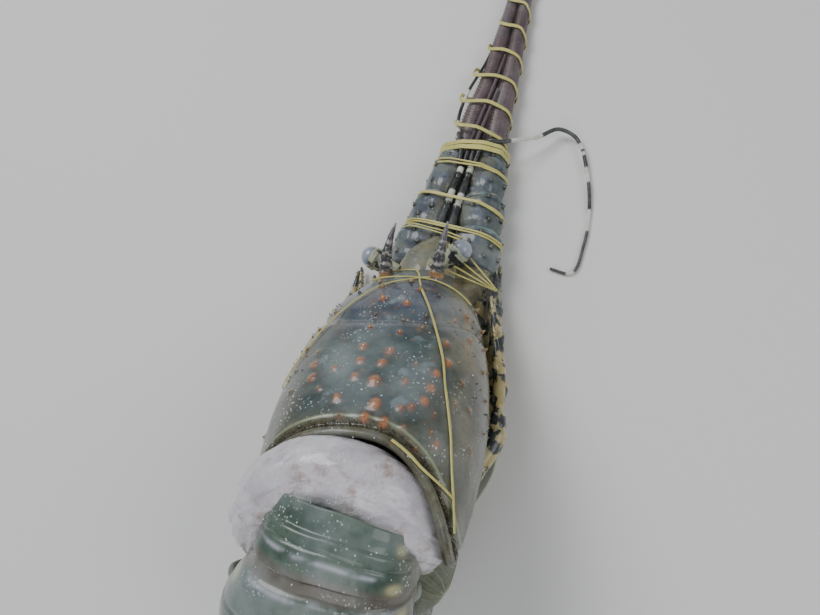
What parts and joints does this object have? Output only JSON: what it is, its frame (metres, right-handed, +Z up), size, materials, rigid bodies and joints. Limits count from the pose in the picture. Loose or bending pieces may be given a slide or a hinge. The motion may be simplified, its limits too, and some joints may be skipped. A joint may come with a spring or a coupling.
{
  "type": "spiny lobster display model",
  "caption": "Life-size still model of a bound spiny lobster: barrel body with horns and stalked eyes, curled tail, legs and long feelers drawn forward.",
  "frame": {"origin": "on the floor under the rear ridge of the carapace, on the flat underside of the telson", "axes": "+Z up, +Y towards the head and feelers, +X to the animal's right"},
  "size_m": [0.1369, 0.6274, 0.1083],
  "materials": {
    "eye": "wet smooth globe, pale blue-grey",
    "feeler_joint": "wet shell, blue-grey with dark spine spots",
    "feeler_whip": "ridged horny whip, mauve-brown",
    "head_skin": "wet skin and shell, olive and pink-brown",
    "horn": "hard horn, dark with pale bands and an orange root",
    "leg": "wet shell, cream-yellow with blue-black blotches",
    "pale_skin": "swollen wet skin, pale lilac white",
    "shell": "wet glazed shell, blue-green grey with orange spine spots",
    "small_feeler": "thin whip, banded black and white",
    "swim_leaf": "thin wet blade, grey-green with a cream edge",
    "tail_fan": "thin wet blades, olive green",
    "tail_shell": "wet shell, green with pale lines and brown-grey skin between",
    "tie": "flat split-fibre string, pale yellow",
    "underside": "wet shell, cream and olive"
  },
  "bodies": {
    "root": {"antenna_left_base": "feeler_joint", "antenna_left_middle": "feeler_joint", "antenna_left_tip": "feeler_joint", "antenna_right_base": "feeler_joint", "antenna_right_middle": "feeler_joint", "antenna_right_tip": "feeler_joint", "antennule_left_inner": "small_feeler", "antennule_left_outer": "small_feeler", "antennule_left_stem": "small_feeler", "antennule_right_inner": "small_feeler", "antennule_right_loop": "small_feeler", "antennule_right_outer": "small_feeler", "antennule_right_stem": "small_feeler", "carapace": "shell", "eye_left": "eye", "eye_right": "eye", "fan_inner_left": "tail_fan", "fan_inner_right": "tail_fan", "fan_outer_left": "tail_fan", "fan_outer_right": "tail_fan", "flagellum_left_far": "feeler_whip", "flagellum_left_near": "feeler_whip", "flagellum_right_far": "feeler_whip", "flagellum_right_near": "feeler_whip", "head_front": "head_skin", "horn_left": "horn", "horn_right": "horn", "leaf_left_1": "swim_leaf", "leaf_left_2": "swim_leaf", "leaf_left_3": "swim_leaf", "leaf_right_1": "swim_leaf", "leaf_right_2": "swim_leaf", "leaf_right_3": "swim_leaf", "leg_left_1": "leg", "leg_left_2": "leg", "leg_left_3": "leg", "leg_left_4": "leg", "leg_left_5": "leg", "leg_right_1": "leg", "leg_right_2": "leg", "leg_right_3": "leg", "leg_right_4": "leg", "leg_right_5": "leg", "mouth_limbs": "leg", "neck_roll": "pale_skin", "sternum": "underside", "tail_ring_1": "tail_shell", "tail_ring_2": "tail_shell", "tail_ring_3": "tail_shell", "tail_ring_4": "tail_shell", "tail_ring_5": "tail_shell", "tail_ring_6": "tail_shell", "telson": "tail_fan", "tie_back": "tie", "tie_band_first": "tie", "tie_band_second": "tie", "tie_band_third": "tie", "tie_band_tip": "tie", "tie_winding": "tie"}
  },
  "joints": []
}
